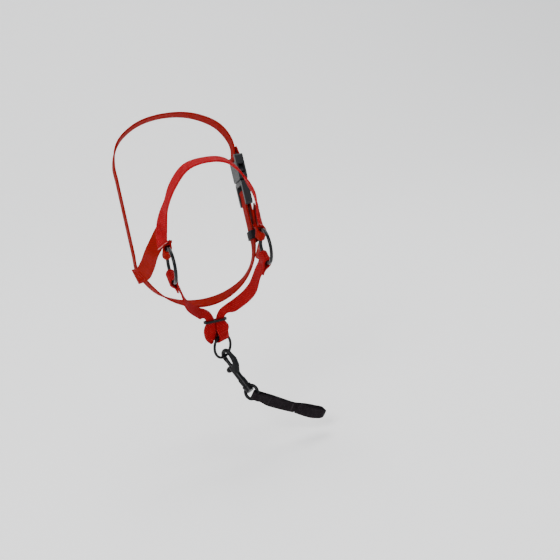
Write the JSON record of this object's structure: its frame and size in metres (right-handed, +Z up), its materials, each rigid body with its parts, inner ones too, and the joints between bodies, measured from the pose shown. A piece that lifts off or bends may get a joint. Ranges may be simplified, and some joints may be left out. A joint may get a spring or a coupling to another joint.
{
  "type": "dog head halter",
  "caption": "Head halter for a dog: webbing noseband, cheek and neck straps, a jaw strap sliding on cheek rings, a lead ring and a snap hook with a safety link.",
  "frame": {"origin": "middle of the muzzle opening, inside the noseband, halfway across and level with the noseband's cheeks", "axes": "+Z up towards the crown of the head, -Y the way the dog's nose points, +X the dog's left. The halter stands in its worn shape."},
  "size_m": [0.1526, 0.1692, 0.2926],
  "materials": {
    "red_webbing": "woven, slightly worn",
    "black_webbing": "woven",
    "dark_steel": "black, satin",
    "black_metal": "black, glossy",
    "spring_steel": "bright wire",
    "black_plastic": "moulded, fine grain"
  },
  "bodies": {
    "halter": {"noseband": "red_webbing", "cheek_strap_right": "red_webbing", "cheek_strap_left": "red_webbing", "ring_tab_right": "red_webbing", "ring_tab_left": "red_webbing", "neck_strap": "red_webbing", "neck_strap_end": "red_webbing", "buckle_socket": "black_plastic"},
    "ring_right": {"cheek_ring_right": "dark_steel"},
    "ring_left": {"cheek_ring_left": "dark_steel"},
    "jaw": {"jaw_strap_right": "red_webbing", "jaw_strap_left": "red_webbing", "chin_keeper": "black_metal"},
    "lead_loop": {"lead_ring": "black_metal"},
    "hook": {"snap_body": "black_metal"},
    "bolt": {"snap_bolt": "black_metal", "snap_spring": "spring_steel"},
    "eye": {"swivel_eye": "black_metal"},
    "link": {"link_strap": "black_webbing"},
    "plug": {"buckle_plug": "black_plastic"},
    "prong_front": {"buckle_prong_front": "black_plastic"},
    "prong_rear": {"buckle_prong_rear": "black_plastic"},
    "keeper": {"tail_keeper": "black_webbing"}
  },
  "joints": [
    {"name": "ring_turn_right", "type": "hinge", "parent": "halter", "child": "ring_right", "pos_m": [-0.0416, -0.003, -0.036], "axis": [1, 0, 0], "continuous": true},
    {"name": "ring_turn_left", "type": "hinge", "parent": "halter", "child": "ring_left", "pos_m": [0.0416, -0.003, -0.036], "axis": [1, 0, 0], "continuous": true},
    {"name": "jaw_swing", "type": "hinge", "parent": "halter", "child": "jaw", "pos_m": [0, -0.003, -0.036], "axis": [1, 0, 0], "range_deg": [-25, 8]},
    {"name": "lead_ring_swing", "type": "hinge", "parent": "jaw", "child": "lead_loop", "pos_m": [0.004, 0.05, -0.1262], "axis": [0.848, 0.5299, 0], "range_deg": [-45, 6]},
    {"name": "hook_swing", "type": "hinge", "parent": "lead_loop", "child": "hook", "pos_m": [0.00706, 0.05191, -0.14718], "axis": [0.7994, 0.4995, 0.3338], "range_deg": [-50, 50]},
    {"name": "bolt_slide", "type": "slide", "parent": "hook", "child": "bolt", "axis": [0.3399, -0.6514, -0.6783], "range_m": [0, 0.0065], "stiffness_N_per_m": 220, "springref_m": -0.004, "deforming": ["snap_spring"]},
    {"name": "eye_swivel", "type": "hinge", "parent": "hook", "child": "eye", "pos_m": [0.0196, 0.02684, -0.17874], "axis": [-0.3399, 0.6514, 0.6783], "continuous": true},
    {"name": "link_swing", "type": "hinge", "parent": "eye", "child": "link", "pos_m": [0.02301, 0.02212, -0.1814], "axis": [-0.489, 0.1327, -0.8621], "range_deg": [-30, 30]},
    {"name": "plug_slide", "type": "slide", "parent": "halter", "child": "plug", "axis": [0, -0.3746, -0.9272], "range_m": [0, 0.018], "deforming": ["neck_strap_end", "buckle_prong_front", "buckle_prong_rear"]},
    {"name": "prong_front_press", "type": "hinge", "parent": "plug", "child": "prong_front", "pos_m": [0.058, 0.10045, 0.00432], "axis": [1, 0, 0], "range_deg": [-7, 0], "stiffness_Nm_per_rad": 0.3},
    {"name": "prong_rear_press", "type": "hinge", "parent": "plug", "child": "prong_rear", "pos_m": [0.058, 0.11547, -0.00175], "axis": [1, 0, 0], "range_deg": [0, 7], "stiffness_Nm_per_rad": 0.3},
    {"name": "keeper_slide", "type": "slide", "parent": "halter", "child": "keeper", "axis": [0, 0.3746, 0.9272], "range_m": [-0.003, 0.006]}
  ]
}
